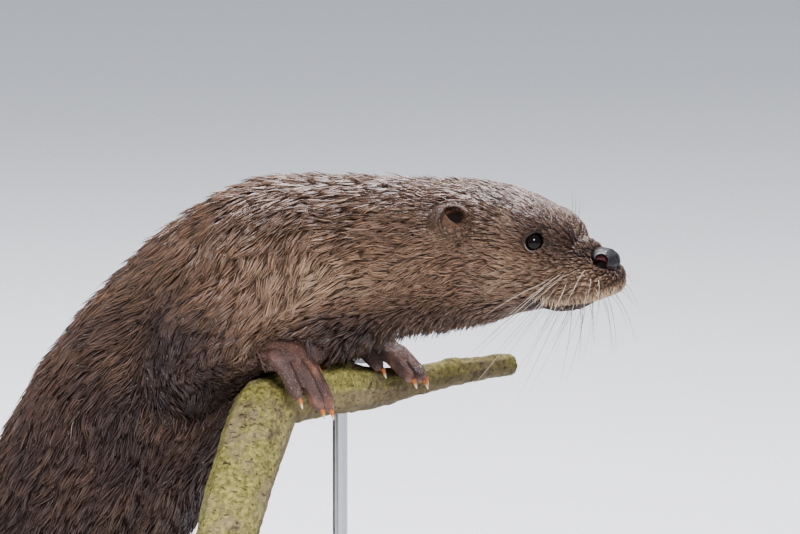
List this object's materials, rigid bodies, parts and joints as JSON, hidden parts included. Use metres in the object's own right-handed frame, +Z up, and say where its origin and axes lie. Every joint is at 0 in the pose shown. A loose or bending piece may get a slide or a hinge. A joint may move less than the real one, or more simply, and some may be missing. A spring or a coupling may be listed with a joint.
{
  "type": "eurasian otter",
  "caption": "Life-size otter hauled up with its forepaws over a short branch, on a flat display base.",
  "frame": {"origin": "centre of the base's underside, on the surface it stands on", "axes": "+X forwards to the nose, +Y to the otter's left, +Z up"},
  "size_m": [0.8048, 0.33, 0.4205],
  "materials": {
    "dark_fur": "wet brown fur",
    "pale_fur": "wet buff fur",
    "bare_skin": "damp bare skin",
    "nose_leather": "wet nose leather",
    "claw_horn": "amber horn",
    "eyeball": "wet dark eye",
    "bark": "mossy bark",
    "board": "satin",
    "rod_steel": "satin"
  },
  "bodies": {
    "root": {"abdomen": "dark_fur", "chest": "dark_fur", "ear_left": "dark_fur", "ear_right": "dark_fur", "eye_left": "eyeball", "eye_right": "eyeball", "forearm_left": "dark_fur", "forearm_right": "dark_fur", "foreclaw_left_fifth": "claw_horn", "foreclaw_left_first": "claw_horn", "foreclaw_left_fourth": "claw_horn", "foreclaw_left_second": "claw_horn", "foreclaw_left_third": "claw_horn", "foreclaw_right_fifth": "claw_horn", "foreclaw_right_first": "claw_horn", "foreclaw_right_fourth": "claw_horn", "foreclaw_right_second": "claw_horn", "foreclaw_right_third": "claw_horn", "forepaw_left": "bare_skin", "forepaw_right": "bare_skin", "head": "dark_fur", "hind_foot_left": "bare_skin", "hind_foot_right": "bare_skin", "hindclaw_left_fifth": "claw_horn", "hindclaw_left_first": "claw_horn", "hindclaw_left_fourth": "claw_horn", "hindclaw_left_second": "claw_horn", "hindclaw_left_third": "claw_horn", "hindclaw_right_fifth": "claw_horn", "hindclaw_right_first": "claw_horn", "hindclaw_right_fourth": "claw_horn", "hindclaw_right_second": "claw_horn", "hindclaw_right_third": "claw_horn", "lower_jaw": "pale_fur", "neck": "dark_fur", "nose_pad": "nose_leather", "perch_far_arm": "bark", "perch_near_arm": "bark", "rump": "dark_fur", "shank_left": "dark_fur", "shank_right": "dark_fur", "stand_base": "board", "stand_rod_far": "rod_steel", "stand_rod_near": "rod_steel", "tail_base": "dark_fur", "tail_mid": "dark_fur", "tail_tip": "dark_fur", "thigh_left": "dark_fur", "thigh_right": "dark_fur", "upper_arm_left": "dark_fur", "upper_arm_right": "dark_fur"}
  },
  "joints": []
}
